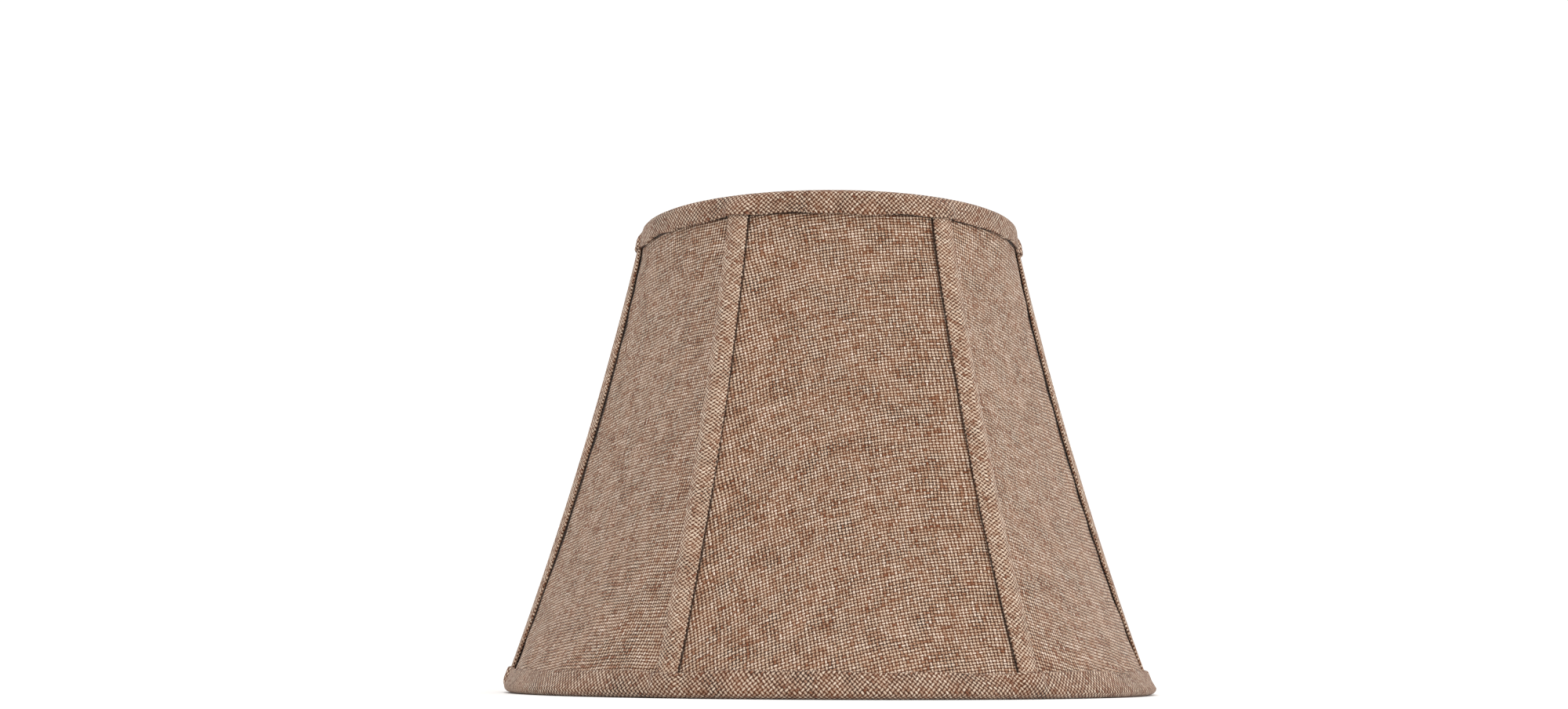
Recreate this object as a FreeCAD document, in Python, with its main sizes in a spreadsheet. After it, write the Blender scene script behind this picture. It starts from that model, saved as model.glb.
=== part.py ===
import FreeCAD, Part
import math
import os
import Sketcher

# A small clip-on lamp shade: a six-ribbed wire frame covered in woven fabric.
# The frame stands on the XY plane with its axis on Z. Rib 1 points along +X, and panel 1 lies between
# rib 1 and rib 2. All lengths are in millimetres and all angles in degrees.

Vector = FreeCAD.Vector
RIBS = 6
STEP_ANGLE = 360.0 / RIBS
HALF_STEP = math.radians(STEP_ANGLE / 2)

# Driving dimensions. Each one is a cell of the sheet, under the alias that is its key here.
DIMENSIONS = {
    # frame
    "bottom_ring_radius": 86.3,      # to the middle of the wire
    "top_ring_radius": 50.7,
    "bottom_ring_height": 1.8,       # the middle of the wire, above the table
    "top_ring_height": 128.2,
    "ring_wire_radius": 0.8,
    "rib_wire_radius": 0.7,
    "bell_sag": 2.0,                 # how far a rib bows inward from a straight line
    # cloth, measured outward or inward from the middle of the frame's wires
    "cloth_gap": 1.1,                # to the near face of the cover or the lining
    "cloth_thickness": 0.4,
    "seam_gap": 0.2,                 # left open between two neighbouring panels, on each side
    # folded tapes
    "tape_gap": 1.6,                 # wire middle to the near face of a tape
    "tape_thickness": 0.7,
    "trim_over": 1.8,                # how far a rim trim stands beyond the middle of its ring's wire
    "trim_reach": 4.4,               # from the wire's middle to the edge of the fold over the cover
    "trim_inner_reach": 2.4,         # and to the edge of the fold inside the shade
    "strip_half_width": 2.7,
    # fitter
    "bar_half_width": 2.5,
    "bar_half_thickness": 0.5,
    "bar_drop_height": 110.0,        # the level middle of the bar
    "bar_bend_in": 16.0,             # where the level middle ends
    "bar_bend_out": 42.0,            # where the arm is level again
    "bar_end": 50.1,                 # inside the top ring's wire, where it is welded
    "bar_bend_radius": 5.0,
    "window_half_width": 3.2,        # slot in the top trim that lets the bar through
    "window_low": 127.3,
    "window_high": 129.1,
    "window_reach": 50.0,
    # bulb clip
    "saddle_half_length": 4.5,
    "saddle_half_height": 1.4,
    "pivot_offset": 4.5,             # each loop's pivot, from the axis
    "pivot_hole_radius": 0.65,
    "loop_wire_radius": 0.6,
    "loop_shoulder": 7.0,            # half-width of the loop at its pivot
    "loop_belly": 14.5,              # half-width at its widest
    "loop_belly_drop": 23.0,
    "loop_toe": 8.0,
    "loop_length": 37.0,
    "loop_shoulder_bend": 2.0,       # bend radii, to the middle of the wire
    "loop_belly_bend": 12.0,
    "loop_toe_bend": 5.0,
    "rivet_hole_radius": 1.25,
    "rivet_shank_radius": 1.2,
    "rivet_head_radius": 2.2,
    "rivet_crown_radius": 1.2,       # the flat on top of each head
    "rivet_head_height": 0.8,
}
LOOP_TILT = 16.0                     # each loop leans outward from the vertical

# Where the cover's cross-sections are taken: share of the way from the bottom ring to the top ring,
# and how much of the ring's roundness is left there. Cloth that is pulled tight between two ribs is
# round only at the rings, and almost flat half-way up.
STATIONS = ((0.0, 1.0), (0.1, 0.62), (0.26, 0.30), (0.5, 0.13), (0.76, 0.26), (0.9, 0.56), (1.0, 1.0))
# The lining ends at the edges of the rim trims' inner folds, and a seam strip at those of the outer ones.
LINING_STATIONS = ((0.02, 0.92),) + STATIONS[1:-1] + ((0.98, 0.90),)
STRIP_STATIONS = ((0.045, 0.80),) + STATIONS[1:-1] + ((0.955, 0.75),)

doc = FreeCAD.newDocument("lamp_shade")
sheet = doc.addObject("Spreadsheet::Sheet", "sheet")
for row, (alias, size) in enumerate(DIMENSIONS.items(), start=1):
    sheet.set(f"A{row}", alias)
    sheet.set(f"B{row}", str(size))
    sheet.setAlias(f"B{row}", alias)
doc.recompute()

pieces = []


def size(alias):
    """The value of one driving dimension, read back from the sheet."""
    return float(getattr(sheet, alias))


def keep(piece, label, placement=None):
    """Name a finished sub-part and put it where it belongs."""
    piece.Label = label
    if placement is not None:
        piece.Placement = placement
    pieces.append(piece)
    return piece


def turn(index):
    """The placement of rib number index, counted from 0 at +X."""
    return FreeCAD.Placement(Vector(0, 0, 0), FreeCAD.Rotation(Vector(0, 0, 1), index * STEP_ANGLE))


def half_turn(index):
    """The placement of panel number index, half a step on from its rib."""
    return FreeCAD.Placement(Vector(0, 0, 0), FreeCAD.Rotation(Vector(0, 0, 1), (index + 0.5) * STEP_ANGLE))


def new_body(name):
    return doc.addObject("PartDesign::Body", name)


def origin_plane(body, role):
    return next(feature for feature in body.Origin.OriginFeatures if feature.Role == role)


def new_sketch(body, name, role, lift=None):
    """A sketch on one of the body's own origin planes, lifted off it by an expression."""
    sketch = body.newObject("Sketcher::SketchObject", name)
    sketch.AttachmentSupport = [(origin_plane(body, role), "")]
    sketch.MapMode = "FlatFace"
    if lift is not None:
        sketch.setExpression("AttachmentOffset.Base.z", lift)
    return sketch


def drive(sketch, kind, references, expression, start):
    """Add a dimension to a sketch and bind it to an expression; start is its first value."""
    index = sketch.addConstraint(Sketcher.Constraint(kind, *references, start))
    sketch.setExpression(f"Constraints[{index}]", expression)


def place_point(sketch, geometry, point, x_rule, y_rule):
    """Fix one point of a sketch at two (expression, first value) pairs."""
    for kind, (expression, start) in (("DistanceX", x_rule), ("DistanceY", y_rule)):
        drive(sketch, kind, (-1, 1, geometry, point), expression, start)


def outline(sketch, corners):
    """A closed outline of straight lines. Each corner is two (expression, first value) pairs."""
    places = [Vector(x_rule[1], y_rule[1], 0) for x_rule, y_rule in corners]
    count = len(places)
    for index in range(count):
        sketch.addGeometry(Part.LineSegment(places[index], places[(index + 1) % count]), False)
    for index in range(count):
        sketch.addConstraint(Sketcher.Constraint("Coincident", index, 2, (index + 1) % count, 1))
    for index, (x_rule, y_rule) in enumerate(corners):
        place_point(sketch, index, 1, x_rule, y_rule)


def disc(sketch, x_rule, y_rule, radius_alias):
    """A circle at two (expression, first value) pairs."""
    centre = Vector(x_rule[1], y_rule[1], 0)
    index = sketch.addGeometry(Part.Circle(centre, Vector(0, 0, 1), size(radius_alias)), False)
    drive(sketch, "Radius", (index,), f"sheet.{radius_alias}", size(radius_alias))
    place_point(sketch, index, 3, x_rule, y_rule)


def bent_path(sketch, corners, radius_aliases):
    """Straight runs joined by tangent bends. A corner is two (expression, first value) pairs."""
    places = [Vector(x_rule[1], y_rule[1], 0) for x_rule, y_rule in corners]
    lines = []
    bends = []
    start = places[0]
    for here, after, alias in zip(places[1:-1], places[2:], radius_aliases):
        radius = size(alias)
        toward, away = (start - here).normalize(), (after - here).normalize()
        half = toward.getAngle(away) / 2
        inset = radius / math.tan(half)
        entry, leave = here + toward * inset, here + away * inset
        centre = here + (toward + away).normalize() * (radius / math.sin(half))
        # An arc runs anticlockwise, so one that bends to the right starts where the path leaves it.
        bends_left = away.cross(toward).z > 0
        ends = (entry, leave) if bends_left else (leave, entry)
        angles = [math.atan2(end.y - centre.y, end.x - centre.x) for end in ends]
        lines.append(sketch.addGeometry(Part.LineSegment(start, entry), False))
        circle = Part.Circle(centre, Vector(0, 0, 1), radius)
        bends.append((sketch.addGeometry(Part.ArcOfCircle(circle, *angles), False), 1 if bends_left else 2))
        start = leave
    lines.append(sketch.addGeometry(Part.LineSegment(start, places[-1]), False))
    for index, ((bend, first), alias) in enumerate(zip(bends, radius_aliases)):
        x_rule, y_rule = corners[index + 1]
        sketch.addConstraint(Sketcher.Constraint("Tangent", lines[index], 2, bend, first))
        sketch.addConstraint(Sketcher.Constraint("Tangent", bend, 3 - first, lines[index + 1], 1))
        drive(sketch, "Radius", (bend,), f"sheet.{alias}", size(alias))
        corner = sketch.addGeometry(Part.Point(Vector(x_rule[1], y_rule[1], 0)), True)
        sketch.addConstraint(Sketcher.Constraint("PointOnObject", corner, 1, lines[index]))
        sketch.addConstraint(Sketcher.Constraint("PointOnObject", corner, 1, lines[index + 1]))
        place_point(sketch, corner, 1, x_rule, y_rule)
    place_point(sketch, lines[0], 1, *corners[0])
    place_point(sketch, lines[-1], 2, *corners[-1])
    return len(lines) + len(bends)


def pipe_along(body, name, profile, spine, edges):
    pipe = body.newObject("PartDesign::AdditivePipe", name)
    pipe.Profile = profile
    pipe.Spine = (spine, [f"Edge{number}" for number in range(1, edges + 1)])
    return pipe


def mirror(body, feature, role):
    """Repeat a feature on the far side of an origin plane, and make the result the body's own."""
    doc.recompute()
    mirrored = body.newObject("PartDesign::Mirrored", body.Name + "_mirrored")
    mirrored.Originals = [feature]
    mirrored.MirrorPlane = (origin_plane(body, role), [""])
    body.Tip = mirrored


def revolve(body, name, sketch):
    turned = body.newObject("PartDesign::Revolution", name)
    turned.Profile = sketch
    turned.ReferenceAxis = (sketch, ["V_Axis"])
    turned.Angle = 360.0
    return turned


# The frame's own geometry, as a number and as the matching expression.

def corner_radius(share):
    """Axis to the middle of a rib's wire, at a share of the way up from the bottom ring."""
    straight = size("bottom_ring_radius") + (size("top_ring_radius") - size("bottom_ring_radius")) * share
    return straight - 4 * size("bell_sag") * share * (1 - share)


def corner_rule(share):
    return (f"(sheet.bottom_ring_radius + (sheet.top_ring_radius - sheet.bottom_ring_radius) * {share}"
            f" - 4 * sheet.bell_sag * {share} * (1 - {share}))")


def height_rule(share):
    return f"(sheet.bottom_ring_height + (sheet.top_ring_height - sheet.bottom_ring_height) * {share})"


def slope_at(share):
    """How fast the shade narrows with height, as a run over a rise."""
    rise = size("top_ring_height") - size("bottom_ring_height")
    fall = size("bottom_ring_radius") - size("top_ring_radius")
    return (fall + 4 * size("bell_sag") * (1 - 2 * share)) / rise


# Wire frame

def wire_ring(name, radius_alias, height_alias):
    ring = doc.addObject("Part::Torus", name)
    ring.setExpression("Radius1", f"sheet.{radius_alias}")
    ring.setExpression("Radius2", "sheet.ring_wire_radius")
    ring.setExpression("Placement.Base.z", f"sheet.{height_alias}")
    return keep(ring, name)


def wire_rib(index):
    """One upright wire, an arc that bows inward, from the top ring down to the bottom ring."""
    body = new_body(f"rib_{index + 1}")
    low = Vector(size("bottom_ring_radius"), size("bottom_ring_height"), 0)
    high = Vector(size("top_ring_radius"), size("top_ring_height"), 0)
    chord = (high - low).Length
    sag = size("bell_sag")
    bend = (chord ** 2 / 4 + sag ** 2) / (2 * sag)
    across = Vector(high.y - low.y, low.x - high.x, 0).normalize()
    centre = (low + high) * 0.5 + across * (bend - sag)
    angles = [math.atan2(end.y - centre.y, end.x - centre.x) % (2 * math.pi) for end in (high, low)]
    spine = new_sketch(body, f"rib_path_{index + 1}", "XZ_Plane")
    spine.addGeometry(Part.ArcOfCircle(Part.Circle(centre, Vector(0, 0, 1), bend), *angles), False)
    place_point(spine, 0, 1, ("sheet.top_ring_radius", high.x), ("sheet.top_ring_height", high.y))
    place_point(spine, 0, 2, ("sheet.bottom_ring_radius", low.x), ("sheet.bottom_ring_height", low.y))
    rise = "(sheet.top_ring_height - sheet.bottom_ring_height)"
    fall = "(sheet.bottom_ring_radius - sheet.top_ring_radius)"
    bend_rule = f"(({rise} ^ 2 + {fall} ^ 2) / 4 + sheet.bell_sag ^ 2) / (2 * sheet.bell_sag)"
    drive(spine, "Radius", (0,), bend_rule, bend)
    # The wire's round section stands square to the path, at the top ring.
    lean = math.degrees(angles[0]) - 180
    section = new_sketch(body, f"rib_section_{index + 1}", "XY_Plane")
    square_on = FreeCAD.Rotation(Vector(0, 1, 0), -lean)
    section.AttachmentOffset = FreeCAD.Placement(Vector(high.x, 0, high.y), square_on)
    disc(section, ("0", 0.0), ("0", 0.0), "rib_wire_radius")
    pipe_along(body, f"rib_wire_{index + 1}", section, spine, 1)
    return keep(body, f"rib_{index + 1}", turn(index))


# Cloth

def cloth_section(body, name, share, roundness, near, far):
    """One cross-section of a panel: two arcs about one centre, closed by two short sides.

    near and far are how far the two faces stand off the corner wires, as sheet expressions. The panel
    is centred on the body's X axis, and roundness is the share of the ring's own bow that it keeps.
    """
    sketch = new_sketch(body, name, "XY_Plane", height_rule(share))
    reach, reach_rule = corner_radius(share) + near[0], f"({corner_rule(share)} + {near[1]})"
    half = reach * math.sin(HALF_STEP) - size("seam_gap")
    half_rule = f"({reach_rule} * sin({STEP_ANGLE / 2} deg) - sheet.seam_gap)"
    end = reach * math.cos(HALF_STEP)
    end_rule = f"({reach_rule} * cos({STEP_ANGLE / 2} deg))"
    bow = reach * (1 - math.cos(HALF_STEP)) * roundness
    bow_rule = f"({reach_rule} * (1 - cos({STEP_ANGLE / 2} deg)) * {roundness})"
    bend = (half ** 2 + bow ** 2) / (2 * bow)
    bend_rule = f"({half_rule} ^ 2 + {bow_rule} ^ 2) / (2 * {bow_rule})"
    thick = far[0] - near[0]
    centre = Vector(end + bow - bend, 0, 0)
    spread = math.asin(half / bend)
    inner_circle = Part.Circle(centre, Vector(0, 0, 1), bend)
    outer_circle = Part.Circle(centre, Vector(0, 0, 1), bend + thick)
    inner = sketch.addGeometry(Part.ArcOfCircle(inner_circle, -spread, spread), False)
    outer = sketch.addGeometry(Part.ArcOfCircle(outer_circle, -spread, spread), False)
    inner_arc, outer_arc = sketch.Geometry[inner], sketch.Geometry[outer]
    right = sketch.addGeometry(Part.LineSegment(inner_arc.StartPoint, outer_arc.StartPoint), False)
    left = sketch.addGeometry(Part.LineSegment(inner_arc.EndPoint, outer_arc.EndPoint), False)
    for line, point in ((right, 1), (left, 2)):
        sketch.addConstraint(Sketcher.Constraint("Coincident", line, 1, inner, point))
        sketch.addConstraint(Sketcher.Constraint("Coincident", line, 2, outer, point))
        sketch.addConstraint(Sketcher.Constraint("PointOnObject", inner, 3, line))
    sketch.addConstraint(Sketcher.Constraint("Coincident", inner, 3, outer, 3))
    sketch.addConstraint(Sketcher.Constraint("PointOnObject", inner, 3, -1))
    place_point(sketch, inner, 2, (end_rule, end), (half_rule, half))
    drive(sketch, "DistanceY", (-1, 1, inner, 1), f"-{half_rule}", -half)
    drive(sketch, "Radius", (inner,), bend_rule, bend)
    drive(sketch, "Radius", (outer,), f"{bend_rule} + {far[1]} - {near[1]}", bend + thick)
    return sketch


def loft(body, name, sections):
    skin = body.newObject("PartDesign::AdditiveLoft", name)
    skin.Profile = sections[0]
    skin.Sections = sections[1:]
    return skin


def cloth_panel(index, name, stations, near, far):
    """A panel of cloth between two ribs, lofted up through the stations."""
    body = new_body(f"{name}_{index + 1}")
    sections = []
    for number, (share, roundness) in enumerate(stations):
        label = f"{name}_{index + 1}_section_{number}"
        sections.append(cloth_section(body, label, share, roundness, near, far))
    loft(body, f"{name}_{index + 1}_loft", sections)
    return keep(body, f"{name}_{index + 1}", half_turn(index))


COVER_NEAR = (size("cloth_gap"), "sheet.cloth_gap")
COVER_FAR = (size("cloth_gap") + size("cloth_thickness"), "(sheet.cloth_gap + sheet.cloth_thickness)")
LINING_FAR = (-COVER_NEAR[0], f"(-{COVER_NEAR[1]})")
LINING_NEAR = (-COVER_FAR[0], f"(-{COVER_FAR[1]})")


def seam_strip(index):
    """A folded tape over one rib: a shallow V that lies on the two panels beside it."""
    body = new_body(f"seam_strip_{index + 1}")
    sections = []
    for number, (share, roundness) in enumerate(STRIP_STATIONS):
        # The wings fall away with the panels: all of the polygon's corner when the panels are flat,
        # and only the ring's own curve where they are round.
        fall = size("strip_half_width") * math.tan(HALF_STEP) * (1 - roundness)
        fall_rule = f"(sheet.strip_half_width * tan({STEP_ANGLE / 2} deg) * {1 - roundness})"
        crest = corner_radius(share) + size("tape_gap")
        crest_rule = f"({corner_rule(share)} + sheet.tape_gap)"
        wide = size("strip_half_width")
        thick = size("tape_thickness")
        sketch = new_sketch(body, f"seam_strip_{index + 1}_section_{number}", "XY_Plane", height_rule(share))
        outline(sketch, (
            ((crest_rule, crest), ("0", 0.0)),
            ((f"{crest_rule} - {fall_rule}", crest - fall), ("sheet.strip_half_width", wide)),
            ((f"{crest_rule} - {fall_rule} + sheet.tape_thickness", crest - fall + thick),
             ("sheet.strip_half_width", wide)),
            ((f"{crest_rule} + sheet.tape_thickness", crest + thick), ("0", 0.0)),
            ((f"{crest_rule} - {fall_rule} + sheet.tape_thickness", crest - fall + thick),
             ("-sheet.strip_half_width", -wide)),
            ((f"{crest_rule} - {fall_rule}", crest - fall), ("-sheet.strip_half_width", -wide)),
        ))
        sections.append(sketch)
    loft(body, f"seam_strip_{index + 1}_loft", sections)
    return keep(body, f"seam_strip_{index + 1}", turn(index))


def rim_trim(name, end, radius_alias, height_alias):
    """A tape folded over a ring: outer fold, flat edge and inner fold, turned about the axis.

    end is -1 for the bottom ring and +1 for the top ring.
    """
    body = new_body(name)
    slope = round(slope_at(0.0 if end < 0 else 1.0), 4)
    near = (size("tape_gap"), "sheet.tape_gap")
    far = (size("tape_gap") + size("tape_thickness"), "(sheet.tape_gap + sheet.tape_thickness)")
    flat = (end * size("trim_over"), f"({end} * sheet.trim_over)")
    under_flat = (end * (size("trim_over") - size("tape_thickness")),
                  f"({end} * (sheet.trim_over - sheet.tape_thickness))")
    outer_edge = (-end * size("trim_reach"), f"({-end} * sheet.trim_reach)")
    inner_edge = (-end * size("trim_inner_reach"), f"({-end} * sheet.trim_inner_reach)")

    def corner(side, out, up):
        """A corner of the profile: out from the wire's middle, on side +1 or -1, and up along the slope."""
        radius = size(radius_alias) + side * out[0] - slope * up[0]
        radius_rule = f"sheet.{radius_alias} + {side} * {out[1]} - {slope} * {up[1]}"
        return (radius_rule, radius), (f"sheet.{height_alias} + {up[1]}", size(height_alias) + up[0])

    profile = new_sketch(body, f"{name}_profile", "XZ_Plane")
    outline(profile, (
        corner(1, near, outer_edge),
        corner(1, far, outer_edge),
        corner(1, far, flat),
        corner(-1, far, flat),
        corner(-1, far, inner_edge),
        corner(-1, near, inner_edge),
        corner(-1, near, under_flat),
        corner(1, near, under_flat),
    ))
    revolve(body, f"{name}_turn", profile)
    return body


def cut_windows(body):
    """Two slots through the top trim's inner fold, one for each end of the bar."""
    doc.recompute()
    before = body.Shape.Volume
    frame = new_sketch(body, "window_frame", "YZ_Plane")
    half = ("sheet.window_half_width", size("window_half_width"))
    minus_half = ("-sheet.window_half_width", -size("window_half_width"))
    low, high = ("sheet.window_low", size("window_low")), ("sheet.window_high", size("window_high"))
    outline(frame, ((minus_half, low), (half, low), (half, high), (minus_half, high)))
    pocket = body.newObject("PartDesign::Pocket", "bar_windows")
    pocket.Profile = frame
    pocket.SideType = "Symmetric"
    pocket.setExpression("Length", "2 * sheet.window_reach")
    doc.recompute()
    assert body.Shape.Volume < before - 1.0, "the bar's windows cut nothing"


# Fitter and bulb clip

def fitter_bar():
    """A flat steel bar, welded across the top ring and dropped in the middle, with a rivet hole."""
    body = new_body("crossbar")
    path = new_sketch(body, "crossbar_path", "XZ_Plane")
    drop = ("sheet.bar_drop_height", size("bar_drop_height"))
    level = ("sheet.top_ring_height", size("top_ring_height"))
    edges = bent_path(path, (
        (("0", 0.0), drop),
        (("sheet.bar_bend_in", size("bar_bend_in")), drop),
        (("sheet.bar_bend_out", size("bar_bend_out")), level),
        (("sheet.bar_end", size("bar_end")), level),
    ), ("bar_bend_radius", "bar_bend_radius"))
    section = new_sketch(body, "crossbar_section", "YZ_Plane")
    wide, thick = size("bar_half_width"), size("bar_half_thickness")
    middle = size("bar_drop_height")
    outline(section, tuple(
        ((f"{side} * sheet.bar_half_width", side * wide),
         (f"sheet.bar_drop_height + {up} * sheet.bar_half_thickness", middle + up * thick))
        for side, up in ((-1, -1), (1, -1), (1, 1), (-1, 1))))
    arm = pipe_along(body, "crossbar_arm", section, path, edges)
    mirror(body, arm, "YZ_Plane")
    doc.recompute()
    before = body.Shape.Volume
    circle = new_sketch(body, "crossbar_hole_circle", "XY_Plane", "sheet.bar_drop_height")
    disc(circle, ("0", 0.0), ("0", 0.0), "rivet_hole_radius")
    hole = body.newObject("PartDesign::Pocket", "crossbar_hole")
    hole.Profile = circle
    hole.SideType = "Symmetric"
    hole.setExpression("Length", "4 * sheet.bar_half_thickness")
    doc.recompute()
    assert body.Shape.Volume < before - 1.0, "the bar's rivet hole cut nothing"
    return keep(body, "crossbar")


def saddle_middle():
    return size("bar_drop_height") - size("bar_half_thickness") - size("saddle_half_height")


SADDLE_RULE = "(sheet.bar_drop_height - sheet.bar_half_thickness - sheet.saddle_half_height)"


def clip_saddle():
    """The block under the bar that both loops turn in, with a hole for the rivet between them."""
    body = new_body("clip_saddle")
    profile = new_sketch(body, "saddle_profile", "XZ_Plane")
    across, tall = size("pivot_offset"), size("saddle_half_height")
    level = saddle_middle()
    for side, start_angle in ((1, -math.pi / 2), (-1, math.pi / 2)):
        end_circle = Part.Circle(Vector(side * across, level, 0), Vector(0, 0, 1), tall)
        profile.addGeometry(Part.ArcOfCircle(end_circle, start_angle, start_angle + math.pi), False)
    for side in (1, -1):
        start, end = (Vector(way * side * across, level + side * tall, 0) for way in (1, -1))
        profile.addGeometry(Part.LineSegment(start, end), False)
    for arc, arc_point, line, line_point in ((0, 2, 2, 1), (1, 1, 2, 2), (1, 2, 3, 1), (0, 1, 3, 2)):
        profile.addConstraint(Sketcher.Constraint("Tangent", arc, arc_point, line, line_point))
    profile.addConstraint(Sketcher.Constraint("Equal", 0, 1))
    place_point(profile, 0, 3, ("sheet.pivot_offset", across), (SADDLE_RULE, level))
    place_point(profile, 1, 3, ("-sheet.pivot_offset", -across), (SADDLE_RULE, level))
    drive(profile, "Radius", (0,), "sheet.saddle_half_height", tall)
    for side in (1, -1):
        pivot = (f"{side} * sheet.pivot_offset", side * across)
        disc(profile, pivot, (SADDLE_RULE, level), "pivot_hole_radius")
    pad = body.newObject("PartDesign::Pad", "saddle_block")
    pad.Profile = profile
    pad.SideType = "Symmetric"
    pad.setExpression("Length", "2 * sheet.saddle_half_length")
    doc.recompute()
    before = body.Shape.Volume
    circle = new_sketch(body, "saddle_hole_circle", "XY_Plane", SADDLE_RULE)
    disc(circle, ("0", 0.0), ("0", 0.0), "rivet_hole_radius")
    hole = body.newObject("PartDesign::Pocket", "saddle_hole")
    hole.Profile = circle
    hole.SideType = "Symmetric"
    hole.setExpression("Length", "4 * sheet.saddle_half_height")
    doc.recompute()
    assert body.Shape.Volume < before - 1.0, "the saddle's rivet hole cut nothing"
    return keep(body, "clip_saddle")


def clip_rivet():
    """The rivet that holds the saddle under the bar: a shank between two low heads."""
    body = new_body("clip_rivet")
    profile = new_sketch(body, "rivet_profile", "XZ_Plane")
    shank, head, cap = size("rivet_shank_radius"), size("rivet_head_radius"), size("rivet_head_height")
    top = size("bar_drop_height") + size("bar_half_thickness")
    low = saddle_middle() - size("saddle_half_height")
    top_rule = "(sheet.bar_drop_height + sheet.bar_half_thickness)"
    low_rule = f"({SADDLE_RULE} - sheet.saddle_half_height)"
    crown, crown_rule = size("rivet_crown_radius"), "sheet.rivet_crown_radius"
    axis = ("0", 0.0)
    outline(profile, (
        (axis, (f"{low_rule} - sheet.rivet_head_height", low - cap)),
        ((crown_rule, crown), (f"{low_rule} - sheet.rivet_head_height", low - cap)),
        (("sheet.rivet_head_radius", head), (f"{low_rule} - sheet.rivet_head_height / 3", low - cap / 3)),
        (("sheet.rivet_head_radius", head), (low_rule, low)),
        (("sheet.rivet_shank_radius", shank), (low_rule, low)),
        (("sheet.rivet_shank_radius", shank), (top_rule, top)),
        (("sheet.rivet_head_radius", head), (top_rule, top)),
        (("sheet.rivet_head_radius", head), (f"{top_rule} + sheet.rivet_head_height / 3", top + cap / 3)),
        ((crown_rule, crown), (f"{top_rule} + sheet.rivet_head_height", top + cap)),
        (axis, (f"{top_rule} + sheet.rivet_head_height", top + cap)),
    ))
    revolve(body, "rivet_turn", profile)
    return keep(body, "clip_rivet")


def clip_loop(name, side):
    """A pear-shaped loop of spring wire. Its straight top is the pin that turns in the saddle."""
    body = new_body(name)
    path = new_sketch(body, f"{name}_path", "YZ_Plane")
    edges = bent_path(path, (
        (("0", 0.0), ("0", 0.0)),
        (("sheet.loop_shoulder", size("loop_shoulder")), ("0", 0.0)),
        (("sheet.loop_belly", size("loop_belly")), ("-sheet.loop_belly_drop", -size("loop_belly_drop"))),
        (("sheet.loop_toe", size("loop_toe")), ("-sheet.loop_length", -size("loop_length"))),
        (("0", 0.0), ("-sheet.loop_length", -size("loop_length"))),
    ), ("loop_shoulder_bend", "loop_belly_bend", "loop_toe_bend"))
    section = new_sketch(body, f"{name}_section", "XZ_Plane")
    disc(section, ("0", 0.0), ("0", 0.0), "loop_wire_radius")
    half = pipe_along(body, f"{name}_wire", section, path, edges)
    mirror(body, half, "XZ_Plane")
    lean = FreeCAD.Rotation(Vector(0, 1, 0), -side * LOOP_TILT)
    return keep(body, name, FreeCAD.Placement(Vector(side * size("pivot_offset"), 0, saddle_middle()), lean))


wire_ring("bottom_ring", "bottom_ring_radius", "bottom_ring_height")
wire_ring("top_ring", "top_ring_radius", "top_ring_height")
for number in range(RIBS):
    wire_rib(number)
for number in range(RIBS):
    cloth_panel(number, "panel", STATIONS, COVER_NEAR, COVER_FAR)
for number in range(RIBS):
    cloth_panel(number, "lining", LINING_STATIONS, LINING_NEAR, LINING_FAR)
for number in range(RIBS):
    seam_strip(number)
keep(rim_trim("bottom_trim", -1, "bottom_ring_radius", "bottom_ring_height"), "bottom_trim")
top_trim = rim_trim("top_trim", 1, "top_ring_radius", "top_ring_height")
cut_windows(top_trim)
keep(top_trim, "top_trim")
fitter_bar()
clip_saddle()
clip_rivet()
clip_loop("clip_loop_right", 1)
clip_loop("clip_loop_left", -1)

doc.recompute()
for item in doc.Objects:
    broken = {"Invalid", "Error"} & set(item.State)
    assert not broken, f"{item.Name} is {broken}"
for piece in pieces:
    assert not piece.Shape.isNull() and piece.Shape.isValid(), f"{piece.Label} has a bad shape"
    assert piece.Shape.Solids, f"{piece.Label} has no solid"

os.makedirs("parts", exist_ok=True)
for piece in pieces:
    piece.Shape.exportStep(f"parts/{piece.Label}.step")
    box = piece.Shape.BoundBox
    print(f"{piece.Label:16s} {piece.Shape.Volume:9.2f} mm3  x {box.XMin:7.2f}..{box.XMax:7.2f}"
          f"  y {box.YMin:7.2f}..{box.YMax:7.2f}  z {box.ZMin:7.2f}..{box.ZMax:7.2f}")
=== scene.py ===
# %% [markdown]
# # A clip-on lamp shade in woven cloth
# The shade is a wire frame with six ribs, covered in six panels of coarse slubby cloth. Folded bias tapes
# hide the seams on the ribs and bind both rims. The frame, the crossbar and the bulb clip come from the
# design as they are. This lesson makes everything that is sewn or glued, and gives every piece its finish.
# Loading the frame first means that each cloth piece can be placed from the wires it is stretched over.

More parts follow.
